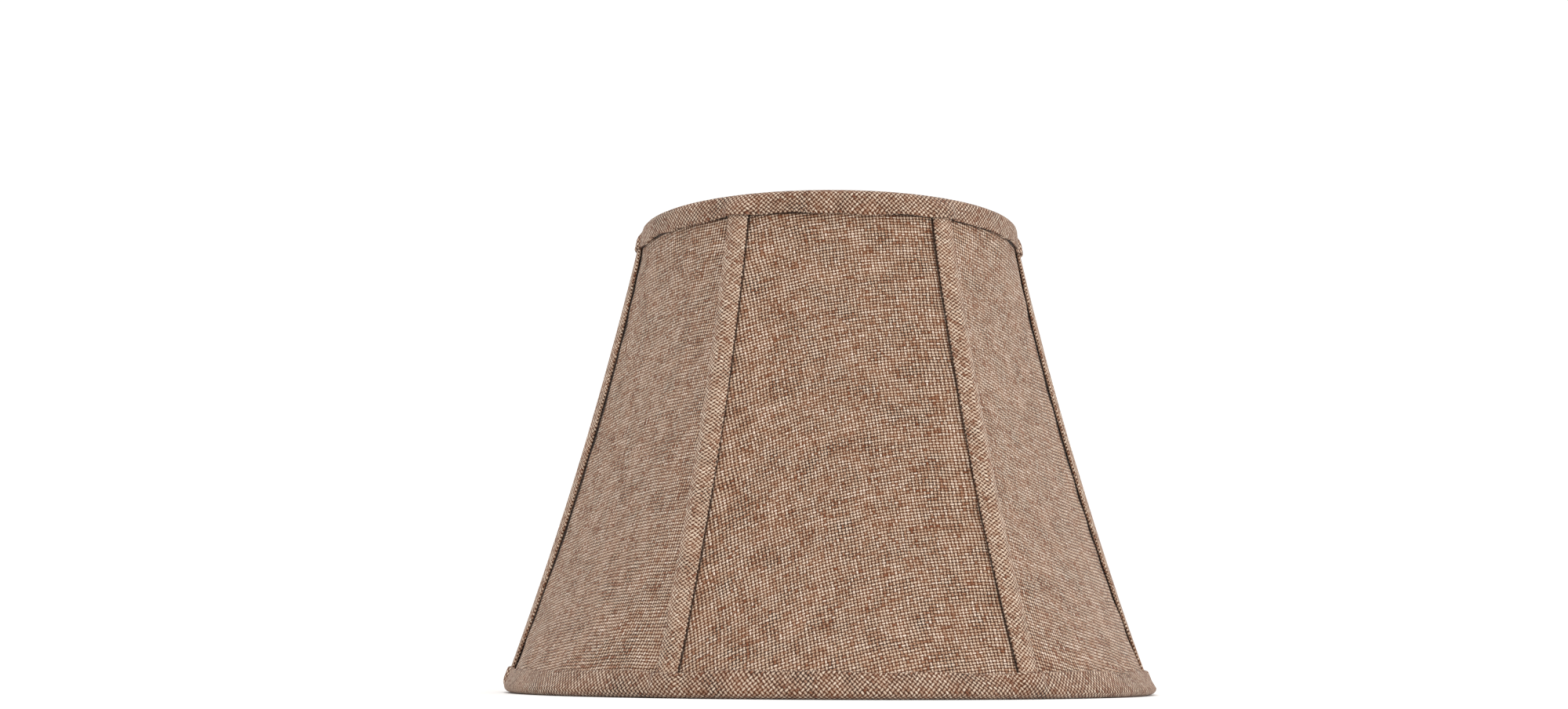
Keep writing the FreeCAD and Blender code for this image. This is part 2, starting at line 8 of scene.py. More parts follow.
import bpy
import numpy as np
from mathutils import Euler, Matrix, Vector


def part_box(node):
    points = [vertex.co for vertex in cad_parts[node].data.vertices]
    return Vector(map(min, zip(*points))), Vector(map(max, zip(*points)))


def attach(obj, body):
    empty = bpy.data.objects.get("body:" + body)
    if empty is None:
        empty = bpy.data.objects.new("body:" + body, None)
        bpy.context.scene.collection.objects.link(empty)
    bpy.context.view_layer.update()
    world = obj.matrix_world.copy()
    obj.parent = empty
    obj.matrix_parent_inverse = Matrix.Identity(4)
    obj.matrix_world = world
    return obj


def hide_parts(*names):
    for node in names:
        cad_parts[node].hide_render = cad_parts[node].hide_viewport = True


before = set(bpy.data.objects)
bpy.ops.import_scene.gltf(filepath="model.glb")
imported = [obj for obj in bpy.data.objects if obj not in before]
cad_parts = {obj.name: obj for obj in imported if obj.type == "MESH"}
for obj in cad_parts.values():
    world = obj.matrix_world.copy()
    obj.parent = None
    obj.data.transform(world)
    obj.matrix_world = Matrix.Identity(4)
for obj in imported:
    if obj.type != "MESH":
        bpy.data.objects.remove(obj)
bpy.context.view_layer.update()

# %% [markdown]
# Sizes are in metres, because the frame is. A maker thinks in millimetres, so every length below is a
# number of millimetres times MM. The ring radii and heights are read from the frame's own wires, and the
# other values are the cloth's: how thick it is, how wide the tapes are cut, how far apart its yarns lie.

# %% Sizes
MM = 0.001
RIBS = 6
STEP = 2 * np.pi / RIBS
RING_WIRE = 0.8 * MM                 # radius of the ring wires
BELL_SAG = 2.0 * MM                  # how far the ribs bow inward half-way up
CLOTH_GAP = 1.1 * MM                 # from the middle of a wire to the near face of the cover or lining
CLOTH = 0.4 * MM                     # thickness of the cover and of the lining
SURFACE = CLOTH_GAP + CLOTH          # from the middle of a wire to the far face, where the tapes lie


def ring_size(node):
    """The radius and the height of a wire ring's middle line, from the box that the ring fills."""
    low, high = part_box(node)
    return (high.x - low.x) / 2 - RING_WIRE, (high.z + low.z) / 2


BOTTOM_RADIUS, BOTTOM_HEIGHT = ring_size("bottom_ring")
TOP_RADIUS, TOP_HEIGHT = ring_size("top_ring")
RISE = TOP_HEIGHT - BOTTOM_HEIGHT
print(f"rings: {BOTTOM_RADIUS / MM:.1f} mm and {TOP_RADIUS / MM:.1f} mm radius, {RISE / MM:.1f} mm apart")

# %% [markdown]
# The camera stands a little above the table and looks slightly up, close enough for the near side to look
# bigger than the far side. It is placed first, so that everything after it can be judged through it. The
# position is given as a distance from the shade's axis and an angle round it, because that is how one
# walks round a shade to choose the view.

# %% Camera
CAMERA_DISTANCE = 558.9 * MM
CAMERA_HEIGHT = 10.3 * MM
CAMERA_ROUND = np.radians(-3.55)     # round from the -Y side, towards -X
CAMERA_LENS = 45.87                  # millimetres of focal length on a 36 mm wide sensor
LOOK_UP, LOOK_LEFT, ROLL = np.radians(8.55), np.radians(1.31), np.radians(0.22)

camera_data = bpy.data.cameras.new("camera")
camera_data.lens = CAMERA_LENS
camera_data.sensor_width = 36.0
camera = bpy.data.objects.new("camera", camera_data)
bpy.context.scene.collection.objects.link(camera)
camera.location = (CAMERA_DISTANCE * np.sin(CAMERA_ROUND), -CAMERA_DISTANCE * np.cos(CAMERA_ROUND),
                   CAMERA_HEIGHT)
turn_to_shade = Euler((np.pi / 2 + LOOK_UP, 0, LOOK_LEFT + CAMERA_ROUND)).to_matrix()
camera.rotation_euler = (turn_to_shade @ Euler((0, 0, ROLL)).to_matrix()).to_euler()
bpy.context.scene.camera = camera
bpy.context.view_layer.update()
print("camera at", [round(value, 4) for value in camera.location])

# %% [markdown]
# The stage is a pale floor that is wide enough to fill every view, under a white sky that lights the shade
# evenly from all sides. A soft light above and another at the right give it a little direction: a faint
# shadow, and a right side that is brighter than the left. Standard colour management keeps the white of the
# stage white, so the cloth's colours can be matched by eye.

# %% Stage and lights
FLOOR_RADIUS = 3.0
FLOOR_CORNERS = 96
SKY_STRENGTH = 1.08                  # just over 1, so that the floor comes out as white as the sky


def linear(hex_colour):
    """An sRGB hex colour as the linear red, green, blue and alpha that shaders work in."""
    channels = [int(hex_colour[i:i + 2], 16) / 255 for i in (1, 3, 5)]
    return tuple(c / 12.92 if c <= 0.04045 else ((c + 0.055) / 1.055) ** 2.4 for c in channels) + (1.0,)


def area_light(name, place, size, power):
    """A square soft light that looks at the middle of the shade."""
    data = bpy.data.lights.new(name, "AREA")
    data.size = size
    data.energy = power
    light = bpy.data.objects.new(name, data)
    bpy.context.scene.collection.objects.link(light)
    light.location = place
    toward = Vector((0, 0, RISE / 2)) - light.location
    light.rotation_euler = toward.to_track_quat("-Z", "Y").to_euler()


bpy.context.scene.view_settings.view_transform = "Standard"
world = bpy.data.worlds.new("white_sky")
bpy.context.scene.world = world
world.use_nodes = True
world.node_tree.nodes["Background"].inputs["Color"].default_value = linear("#ffffff")
world.node_tree.nodes["Background"].inputs["Strength"].default_value = SKY_STRENGTH
area_light("above", (-0.1, -0.35, 0.9), 0.6, 2.1)
area_light("from_right", (1.0, -0.6, 0.5), 0.7, 4.4)
print("two soft lights and a white sky")

# %% [markdown]
# Almost every new piece here is a grid: a rectangle of points worked out from two parameters. One function
# turns such a grid into a mesh with smooth shading and UV maps. The map named "threads" holds the position
# of each point on the flat cloth, in metres. A ring closes on itself, so its last column joins its first,
# but its UV map must not: there the threads run on, and the function keeps one more column of UVs.

# %% Grid to mesh
def grid_piece(name, points, closed=False, **maps):
    """A mesh from an array of points (columns, rows, 3); closed joins the last column to the first.

    Each map is a UV map under its own name. It has the same columns and rows, plus one more column when the
    grid is closed, and 2 values. Faces look along (next column - column) x (next row - row).
    """
    columns, rows = points.shape[:2]
    spans = columns if closed else columns - 1
    i, j = np.meshgrid(np.arange(spans), np.arange(rows - 1), indexing="ij")
    i, j = i.ravel(), j.ravel()
    after = (i + 1) % columns
    faces = np.stack([i * rows + j, after * rows + j, after * rows + j + 1, i * rows + j + 1], axis=1)
    mesh = bpy.data.meshes.new(name)
    mesh.from_pydata(points.reshape(-1, 3), [], faces)
    mesh.polygons.foreach_set("use_smooth", np.ones(len(faces), dtype=bool))
    corners = np.stack([i * rows + j, (i + 1) * rows + j, (i + 1) * rows + j + 1, i * rows + j + 1], axis=1)
    for map_name, values in maps.items():
        layer = mesh.uv_layers.new(name=map_name)
        layer.data.foreach_set("uv", values.reshape(-1, 2)[corners.ravel()].astype(np.float32).ravel())
    mesh.update()
    piece = bpy.data.objects.new(name, mesh)
    bpy.context.scene.collection.objects.link(piece)
    return piece


def floor_disc():
    """A flat disc: the angle goes round and the radius goes out from the middle."""
    around = np.linspace(0, 2 * np.pi, FLOOR_CORNERS, endpoint=False)[:, None]
    out = np.array([0.0, 0.25, 1.0])[None, :] * FLOOR_RADIUS
    points = np.stack([out * np.cos(around), out * np.sin(around), np.zeros_like(out * around)], axis=-1)
    return grid_piece("floor", points[::-1], closed=True)


floor = floor_disc()
print("floor", FLOOR_RADIUS * 2, "m across")

# %% [markdown]
# Materials are node trees. One small function adds a node with its settings and its inputs, where an input
# is either a plain value or the output of another node, so a material reads top to bottom like a recipe.

# %% Node helper and the floor's finish
def add(tree, kind, inputs=None, **settings):
    """Add one node; inputs maps a socket's name or number to a value or to another node's output."""
    node = tree.nodes.new(kind)
    for name, value in settings.items():
        setattr(node, name, value)
    for socket, value in (inputs or {}).items():
        if isinstance(value, bpy.types.NodeSocket):
            tree.links.new(value, node.inputs[socket])
        else:
            node.inputs[socket].default_value = value
    return node


def new_material(name):
    """An empty node material with its output node."""
    material = bpy.data.materials.new(name)
    material.use_nodes = True
    material.node_tree.nodes.clear()
    output = material.node_tree.nodes.new("ShaderNodeOutputMaterial")
    return material, material.node_tree, output


def painted_board():
    """Matte white paint on board: rough, with the faint unevenness that a roller leaves."""
    material, tree, output = new_material("matte_white_paint")
    place = add(tree, "ShaderNodeTexCoord")
    roller = add(tree, "ShaderNodeTexNoise", {"Vector": place.outputs["Object"], "Scale": 3.0, "Detail": 3.0})
    tone = add(tree, "ShaderNodeMix", {"Factor": roller.outputs["Fac"], "A": linear("#f7f6f4"),
                                       "B": linear("#fbfaf9")}, data_type="RGBA")
    surface = add(tree, "ShaderNodeBsdfPrincipled", {"Base Color": tone.outputs["Result"], "Roughness": 0.9})
    tree.links.new(surface.outputs["BSDF"], output.inputs["Surface"])
    return material


floor.data.materials.append(painted_board())
print("floor painted")

# %% [markdown]
# ## The shape of the stretched cover
# Cloth that is pulled tight over round rings and thin ribs takes a shape of its own. At the rings it
# must be round. Half-way up nothing holds it out between two ribs, so it pulls nearly flat, and the shade
# is almost a hexagon there. The roundness fades with distance from a ring over roughly a third of the
# panel's width. Everything sewn on to the cover follows this one surface, so it is written once.

# %% The cover's surface
BOTTOM_FADE = 27.0 * MM              # from a ring to where little more than a third of its bow is left
TOP_FADE = 21.0 * MM


def corner_radius(share):
    """Axis to rib wire: a straight taper from ring to ring, less a parabola that bows it inward."""
    straight = BOTTOM_RADIUS + (TOP_RADIUS - BOTTOM_RADIUS) * share
    return straight - 4 * BELL_SAG * share * (1 - share)


def roundness(share):
    """Share of the ring's own bow left in a panel: 1 at a ring, falling off exponentially away from it."""
    up, down = np.clip(share, 0, 1) * RISE, (1 - np.clip(share, 0, 1)) * RISE
    return np.clip(np.exp(-up / BOTTOM_FADE) + np.exp(-down / TOP_FADE), 0, 1)


def cover_radius(angle, share, stand_off):
    """Distance from the axis to a cloth surface that stands off the rib wires by stand_off.

    Between two ribs the cross-section is an arc through both corners, whose rise over the chord is the
    roundness times the rise of a full circle. The ray at this angle is cut with that arc's circle.
    """
    reach = corner_radius(share) + stand_off
    local = (angle % STEP) - STEP / 2
    half, end = reach * np.sin(STEP / 2), reach * np.cos(STEP / 2)
    bow = np.maximum(roundness(share) * (reach - end), 1e-6)
    bend = (half ** 2 + bow ** 2) / (2 * bow)
    middle = end + bow - bend
    return middle * np.cos(local) + np.sqrt(bend ** 2 - (middle * np.sin(local)) ** 2)


def on_cover(angle, share, stand_off):
    """The points (x, y, z) of that surface, for arrays of angle and share."""
    radius = cover_radius(angle, share, stand_off)
    height = BOTTOM_HEIGHT + RISE * share
    return np.stack([radius * np.cos(angle), radius * np.sin(angle), height + 0 * radius], axis=-1)


print(f"mid-height: {cover_radius(0.0, 0.5, 0) / MM:.1f} mm at a rib, "
      f"{cover_radius(STEP / 2, 0.5, 0) / MM:.1f} mm between two ribs")

# %% [markdown]
# ## The cloth
# The cover is a coarse plain weave, like burlap or homespun linen: each warp yarn goes over one weft yarn
# and under the next. Hand-spun yarn is uneven in width, and it was dyed in patches, so cream runs into
# tan, rose-brown and rust every few millimetres. Between the yarns one looks into a dark brown gap.
# The weave could be modelled as real yarn, but that is millions of faces. Drawn by the material, it costs
# nothing and still reads: two sets of rounded yarns, a checker that says which set is on top, and a
# height that the bump and the gaps both use. All of it reads the "threads" UV map, so the weave follows
# the cut of each piece. The real yarns lie about 0.8 mm apart, which is close to the finest that shows, so
# they are drawn a little wider apart here. Each yarn keeps its tone for about half a centimetre along its
# own length, which is what makes streaks rather than speckles.

# %% Woven cloth
YARN_SPACING = 0.86 * MM             # 0.8 mm in the real cloth, drawn coarser so that it shows
TAPE_YARN_SPACING = 0.72 * MM        # a tape is cut from the same cloth, and pulled narrower as it is folded
BINDING_YARN_SPACING = 0.86 * MM     # a binding is pulled less, because it has to lie round a curve
ROW_WANDER = 1.2                     # how far a hand-woven row strays from its place, in yarns
WARP_STREAK, WEFT_STREAK = 0.22, 0.14          # changes of tone along a yarn, for each yarn that it crosses
THINNEST, SLUB = 0.46, 0.44          # a yarn's least width and what a slub may add, as shares of the spacing
TONE_STEPS = (0.36, 0.43, 0.50, 0.62)          # where the four yarn tones lie in the noise's range
GAP_TONES = ("#2e1507", "#582c11")   # between the yarns: undyed shadow, and shadow with rust dye in it
# Painted shade: a dark tone laid on the cover beside each seam tape and under the top binding, for the shadow
# of the tape's fold.
PAINTED_SHADE_TONE = "#2a180d"              # the cover where it runs in under a tape
PAINTED_SHADE_START, PAINTED_SHADE_END = 0.05 * MM, 0.34 * MM          # that dark fades out between these, past the tape
MATH = "ShaderNodeMath"


def woven_cloth(name, spacing, tones, depth, bump, painted_shade=None):
    """A slubby plain weave of patchy yarn, read from the piece's own map of its threads.

    tones are four yarn colours from dark to light, and depth is how far down a yarn's side the painted shade
    of the gap reaches, as a share of its height. painted_shade is (strength beside a seam tape, strength
    under the top binding), for a cloth that has the "edges" map: it paints shade on the cloth where those
    tapes lie and just past their edges.
    """
    material, tree, output = new_material(name)
    place = add(tree, "ShaderNodeUVMap", uv_map="threads")
    count = add(tree, "ShaderNodeVectorMath", {0: place.outputs["UV"], "Scale": 1 / spacing},
                operation="SCALE")
    # Hand-woven rows wander by part of a yarn.
    drift = add(tree, "ShaderNodeTexNoise", {"Vector": count.outputs[0], "Scale": 0.06, "Detail": 1.0},
                noise_dimensions="2D")
    centred = add(tree, "ShaderNodeVectorMath", {0: drift.outputs["Color"], 1: (0.5, 0.5, 0.5)},
                  operation="SUBTRACT")
    drifted = add(tree, "ShaderNodeVectorMath", {
        0: centred.outputs[0], 1: (ROW_WANDER, ROW_WANDER, 0.0), 2: count.outputs[0]},
        operation="MULTIPLY_ADD")
    axes = add(tree, "ShaderNodeSeparateXYZ", {0: drifted.outputs[0]})

    # Neighbouring yarns came off the same bobbin, so rust also gathers in patches a few millimetres wide.
    cloud = add(tree, "ShaderNodeTexNoise", {"Vector": drifted.outputs[0], "Scale": 0.11, "Detail": 4.0,
                                             "Roughness": 0.7})

    def yarns(across, along, streak, seed):
        """One set of yarns: each one's own tone along its length, and its rounded cross-section."""
        number = add(tree, MATH, {0: across}, operation="FLOOR").outputs[0]
        part = add(tree, MATH, {0: across}, operation="FRACT").outputs[0]
        beside = add(tree, MATH, {0: part, 1: 0.5}, operation="SUBTRACT").outputs[0]
        # Each yarn reads its own line of the noise, far enough from the next that the two differ.
        apart = add(tree, MATH, {0: number, 1: 7.31}, operation="MULTIPLY").outputs[0]
        stretched = add(tree, MATH, {0: along, 1: streak}, operation="MULTIPLY").outputs[0]
        where = add(tree, "ShaderNodeCombineXYZ", {0: apart, 1: stretched, 2: seed})
        patches = add(tree, "ShaderNodeTexNoise", {"Vector": where.outputs[0], "Scale": 1.0, "Detail": 4.0,
                                                   "Roughness": 0.8})
        slubs = add(tree, "ShaderNodeTexNoise", {"Vector": where.outputs[0], "Scale": 0.6, "Detail": 0.0})
        width = add(tree, MATH, {0: slubs.outputs["Fac"], 1: SLUB, 2: THINNEST}, operation="MULTIPLY_ADD")
        # The cross-section is a parabola: one less the square of the distance from the yarn's middle.
        twice = add(tree, MATH, {0: beside, 1: 2.0}, operation="MULTIPLY").outputs[0]
        off = add(tree, MATH, {0: twice, 1: width.outputs[0]}, operation="DIVIDE").outputs[0]
        square = add(tree, MATH, {0: off, 1: off}, operation="MULTIPLY").outputs[0]
        falling = add(tree, MATH, {0: 1.0, 1: square}, operation="SUBTRACT").outputs[0]
        rounded = add(tree, MATH, {0: falling, 1: 0.0}, operation="MAXIMUM").outputs[0]
        own = add(tree, MATH, {0: patches.outputs["Fac"], 1: 0.88}, operation="MULTIPLY").outputs[0]
        mixed = add(tree, MATH, {0: cloud.outputs["Fac"], 1: 0.12, 2: own},
                    operation="MULTIPLY_ADD").outputs[0]
        tone = add(tree, "ShaderNodeValToRGB", {0: mixed})
        ramp = tone.color_ramp
        for element, k in ((ramp.elements[0], 0), (ramp.elements[1], 3)):
            element.position, element.color = TONE_STEPS[k], linear(tones[k])
        for k in (1, 2):
            ramp.elements.new(TONE_STEPS[k]).color = linear(tones[k])
        return number, beside, rounded, tone.outputs["Color"]

    warp, warp_off, warp_round, warp_tone = yarns(axes.outputs[0], axes.outputs[1], WARP_STREAK, 0.0)
    weft, weft_off, weft_round, weft_tone = yarns(axes.outputs[1], axes.outputs[0], WEFT_STREAK, 17.0)
    both = add(tree, MATH, {0: warp, 1: weft}, operation="ADD").outputs[0]
    weft_on_top = add(tree, MATH, {0: both, 1: 2.0}, operation="FLOORED_MODULO").outputs[0]
    warp_on_top = add(tree, MATH, {0: 1.0, 1: weft_on_top}, operation="SUBTRACT").outputs[0]

    def crown(rounded, far, on_top):
        """A yarn's height: full where it crosses over, and sunk where it goes under the other set.

        far is the distance from the middle of the yarn that it crosses: the height falls with its square.
        """
        square = add(tree, MATH, {0: far, 1: far}, operation="MULTIPLY").outputs[0]
        drop = add(tree, MATH, {0: square, 1: 2.4}, operation="MULTIPLY").outputs[0]
        ends = add(tree, MATH, {0: 1.0, 1: drop}, operation="SUBTRACT").outputs[0]
        level = add(tree, MATH, {0: on_top, 1: 0.6, 2: 0.4}, operation="MULTIPLY_ADD").outputs[0]
        bent = add(tree, MATH, {0: rounded, 1: ends}, operation="MULTIPLY").outputs[0]
        return add(tree, MATH, {0: bent, 1: level}, operation="MULTIPLY").outputs[0]

    warp_height = crown(warp_round, weft_off, warp_on_top)
    weft_height = crown(weft_round, warp_off, weft_on_top)
    height = add(tree, MATH, {0: warp_height, 1: weft_height}, operation="MAXIMUM").outputs[0]
    weft_shows = add(tree, MATH, {0: weft_height, 1: warp_height}, operation="GREATER_THAN").outputs[0]
    yarn = add(tree, "ShaderNodeMix", {"Factor": weft_shows, "A": warp_tone, "B": weft_tone},
               data_type="RGBA")
    shade_in = add(tree, "ShaderNodeMapRange", {"Value": height, "From Min": 0.02, "From Max": depth},
                   interpolation_type="SMOOTHSTEP")
    # Between the yarns is painted shade, dark but not black: rust dye has run into the cloth there, in
    # patches.
    dyed = add(tree, "ShaderNodeMapRange", {"Value": cloud.outputs["Fac"], "From Min": 0.34,
                                            "From Max": 0.62})
    gap = add(tree, "ShaderNodeMix", {"Factor": dyed.outputs[0], "A": linear(GAP_TONES[0]),
                                      "B": linear(GAP_TONES[1])}, data_type="RGBA")
    cloth = add(tree, "ShaderNodeMix", {"Factor": shade_in.outputs[0], "A": gap.outputs["Result"],
                                        "B": yarn.outputs["Result"]}, data_type="RGBA")
    if painted_shade:
        # Painted shade: the cover is darkened beside each seam tape and under the top binding, for the shadow
        # that the tape's fold throws there.
        edges = add(tree, "ShaderNodeUVMap", uv_map="edges")
        apart = add(tree, "ShaderNodeSeparateXYZ", {0: edges.outputs["UV"]})
        seam, rim = (
            add(tree, "ShaderNodeMapRange", {
                "Value": apart.outputs[side], "From Min": reach + PAINTED_SHADE_START,
                "From Max": reach + PAINTED_SHADE_END, "To Min": strength, "To Max": 0.0},
                interpolation_type="SMOOTHSTEP").outputs[0]
            for side, reach, strength in ((0, TAPE_HALF, painted_shade[0]), (1, BINDING_REACH, painted_shade[1])))
        painted_shade_mask = add(tree, MATH, {0: seam, 1: rim}, operation="MAXIMUM").outputs[0]
        cloth = add(tree, "ShaderNodeMix", {"Factor": painted_shade_mask, "A": cloth.outputs["Result"],
                                            "B": linear(PAINTED_SHADE_TONE)}, data_type="RGBA")
    # Loose fibres on the yarns: fine hair that the bump alone carries.
    fibres = add(tree, "ShaderNodeTexNoise", {"Vector": drifted.outputs[0], "Scale": 3.2, "Detail": 3.0})
    relief = add(tree, MATH, {0: fibres.outputs["Fac"], 1: 0.3, 2: height},
                 operation="MULTIPLY_ADD").outputs[0]
    weave = add(tree, "ShaderNodeBump", {"Height": relief, "Distance": spacing * 0.3, "Strength": bump})
    surface = add(tree, "ShaderNodeBsdfPrincipled", {
        "Base Color": cloth.outputs["Result"], "Roughness": 0.92, "Specular IOR Level": 0.2,
        "Sheen Weight": 0.12, "Sheen Roughness": 0.5, "Normal": weave.outputs["Normal"]})
    tree.links.new(surface.outputs["BSDF"], output.inputs["Surface"])
    return material


print("woven cloth: yarns", YARN_SPACING / MM, "mm apart in the cover")

# %% The cover's cloth
# The widths that the tapes will have: the cover gets painted shade beside them.
TAPE_HALF = 2.7 * MM                 # half of a seam tape
BINDING_REACH = 4.5 * MM             # from the ring wire's middle to the outer edge of a rim binding
YARN_TONES = ("#824f33", "#a57d62", "#c4a990", "#e4cfbc")
TAPE_TONES = ("#7d4f38", "#a28069", "#c0a68f", "#dbc7b2")
cover_cloth = woven_cloth("homespun_linen_cover", YARN_SPACING, YARN_TONES, depth=0.8, bump=0.75,
                          painted_shade=(0.8, 0.85))
print("cover cloth", cover_cloth.name, "with", len(cover_cloth.node_tree.nodes), "nodes")

# %% [markdown]
# ## The six panels
# Each panel is a trapezium of cloth, glued to the frame all round and pulled tight. It is a grid over the
# cover's surface: one parameter goes from rib to rib, the other from ring to ring. No two panels are cut
# quite alike, so each has its own thread direction and its own pull of the rows: that is what makes the
# weave of a hand-made shade run at slightly different angles on every side. Solidify gives the cloth its
# thickness. Faint puckers near the glued edges come from smooth random waves added to the stand-off.

# %% Panels
PANEL_COLUMNS, PANEL_ROWS = 96, 150
PANEL_EDGE = 0.15 * MM               # each panel stops this far from the middle of its ribs
PUCKER = 0.22 * MM                   # height of the puckers
PUCKER_START, PUCKER_FADE = 4 * MM, 22 * MM    # they begin this near to the glue, and fade out over this
PUCKER_WAVES, PUCKER_FINEST = 24, 9 * MM       # how many waves add up to them, and the finest one's length
# For each panel: the lean of the warp on the flat cut, in degrees, and how far its rows rise from its
# first rib to its second, in mm, at the bottom and at the top. The rise is steep at first and then levels.
PANEL_CUTS = ((3.0, -9.0, -4.0), (-5.0, 12.0, 5.0), (2.0, 9.0, 5.0), (-4.0, 10.0, 4.0), (7.7, 27.0, 7.0),
              (-6.0, -12.0, -5.0))


def smooth_waves(rng, across, up, count, finest):
    """A sum of random plane waves with a size of about 1, the same for the same random generator."""
    total = np.zeros(np.broadcast(across, up).shape)
    for _ in range(count):
        kx, ky = rng.uniform(-1, 1, 2) / finest
        total += np.sin(2 * np.pi * (kx * across + ky * up) + rng.uniform(0, 2 * np.pi))
    return total / np.sqrt(count)


def cloth_panel(index):
    """Columns run from rib to rib and rows from ring to ring, a hair inside the seam at each side."""
    rng = np.random.default_rng(100 + index)
    edge = PANEL_EDGE / BOTTOM_RADIUS
    side = np.linspace(0, 1, PANEL_COLUMNS)[:, None]
    share = np.linspace(0, 1, PANEL_ROWS)[None, :]
    angle = index * STEP + edge + (STEP - 2 * edge) * side + 0 * share
    half = corner_radius(share) * np.sin(STEP / 2)
    flat_x = (2 * side - 1) * half
    flat_y = share * RISE + 0 * side
    glued = np.minimum(np.minimum(side, 1 - side) * 2 * half, np.minimum(share, 1 - share) * RISE)
    loose = np.clip(glued / PUCKER_START, 0, 1) * np.exp(-glued / PUCKER_FADE)
    pucker = smooth_waves(rng, flat_x, flat_y, PUCKER_WAVES, PUCKER_FINEST) * loose * PUCKER
    points = on_cover(angle, share + 0 * angle, CLOTH_GAP + CLOTH / 2 + pucker)
    lean, low_rise, high_rise = PANEL_CUTS[index]
    lean = np.radians(lean)
    across = flat_x * np.cos(lean) + flat_y * np.sin(lean)
    rise = (low_rise + (high_rise - low_rise) * share) * MM
    up = flat_y - rise * (1 - (1 - side) ** 2)
    threads = np.stack([across + index * 31 * MM, up + index * 17 * MM], axis=-1)
    # How far each point is from the nearer rib, and below the top ring, both along the cloth: the cover's
    # painted shade beside the tapes is placed by these.
    edges = np.stack([np.minimum(side, 1 - side) * 2 * half, (1 - share) * RISE + 0 * side], axis=-1)
    piece = grid_piece(f"cover_panel_{index + 1}", points, threads=threads, edges=edges)
    thicken(piece, CLOTH)
    return piece


def thicken(piece, thickness):
    """Cloth thickness, half to each side of the grid."""
    solid = piece.modifiers.new("thickness", "SOLIDIFY")
    solid.thickness = thickness
    solid.offset = 0.0


for index in range(RIBS):
    panel = cloth_panel(index)
    panel.data.materials.append(cover_cloth)
    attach(panel, "shade")
    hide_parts(f"panel_{index + 1}")

# %% [markdown]
# ## Folded tapes
# Every edge is hidden by a bias tape: a strip cut at 45 degrees to the threads, with both of its long
# edges turned under, then glued down. Seen end on it is a flat roll. Its two folds stand a little off the
# cover, and the dark line that one sees along a tape is the shadow in that gap, deepened by painted shade
# on the cover beside the tape. So the tape is modelled as it is folded, as an open cross-section with both
# turned-under flaps, carried along the rib. Its folds are not ruler-straight: each yarn that goes round the
# fold makes a small scallop.

# %% Tape section
TAPE = 0.32 * MM                     # one layer of the tape's cloth
TAPE_LOW = 0.42 * MM                 # middle of the turned-under layer, above the cover
TAPE_HIGH = 1.05 * MM                # middle of the top layer
TAPE_CROWN = 0.22 * MM               # extra height at the middle of the tape, over the rib
SCALLOP = 0.13 * MM                  # height of the small bumps along a fold
SCALLOP_PITCH = 1.5 * MM             # 1.1 mm on the real tape, drawn wider like the yarns
TAPE_STEP = 0.42 * MM                # from one row of points to the next
TAPE_FLAP = 2.0 * MM                 # how far each edge is turned under
TAPE_WANDER = 0.12 * MM              # how unevenly a tape was glued down
RIB_BEND = 0.9 * MM                  # the tape turns from one panel to the next within this of the rib


def folded_tape_section(half, low, high, crown, flap):
    """The tape's cross-section as (sideways, up) points: flap, fold, top, fold, flap.

    The folds are half circles between the two layers. The top rises to its crown as a parabola.
    """
    radius = (high - low) / 2
    turn = np.linspace(-np.pi / 2, np.pi / 2, 7)
    fold = np.stack([half - radius + radius * np.cos(turn), low + radius + radius * np.sin(turn)], axis=1)
    sideways = np.linspace(half - radius, -(half - radius), 9)[1:-1]
    top = np.stack([sideways, high + crown * (1 - (sideways / (half - radius)) ** 2)], axis=1)
    under = np.array([[half - radius - flap, low], [half - radius - flap / 2, low]])
    mirrored = np.array([-1.0, 1.0])
    return np.concatenate([under, fold, top, fold[::-1] * mirrored, under[::-1] * mirrored])


def section_length(section):
    """The width of the flat strip: the lengths between the section's points, added up."""
    return float(np.linalg.norm(np.diff(section, axis=0), axis=1).sum())


def along_section(section):
    """How far along the flat strip each point of a cross-section lies."""
    return np.concatenate([[0.0], np.cumsum(np.linalg.norm(np.diff(section, axis=0), axis=1))])


def scallops(rng, length, steps):
    """Small uneven bumps along a fold, one for each yarn that goes round it."""
    where = np.linspace(0, length, steps)
    phase = 2 * np.pi * where / SCALLOP_PITCH + 1.5 * smooth_waves(rng, where, 0.0, 6, 14 * MM)
    size = 1 + 0.5 * smooth_waves(rng, where, 0.0, 6, 7 * MM)
    return SCALLOP * size * np.sin(phase)


def bias_threads(across, along, shift):
    """Positions on the cloth before it was cut: the strip is laid at 45 degrees to the threads."""
    turn = np.sqrt(0.5)
    return np.stack([(across + along) * turn + shift, (along - across) * turn + shift], axis=-1)


SEAM_SECTION = folded_tape_section(TAPE_HALF, TAPE_LOW, TAPE_HIGH, TAPE_CROWN, TAPE_FLAP)
print(f"a seam tape is cut from a strip {section_length(SEAM_SECTION) / MM:.1f} mm wide")

# %% Seam tapes along the ribs
SEAM_LOW_END, SEAM_HIGH_END = 0.012, 0.988     # shares of the height, under the two bindings
tape_cloth = woven_cloth("homespun_linen_tape", TAPE_YARN_SPACING, TAPE_TONES, depth=0.6, bump=0.6)


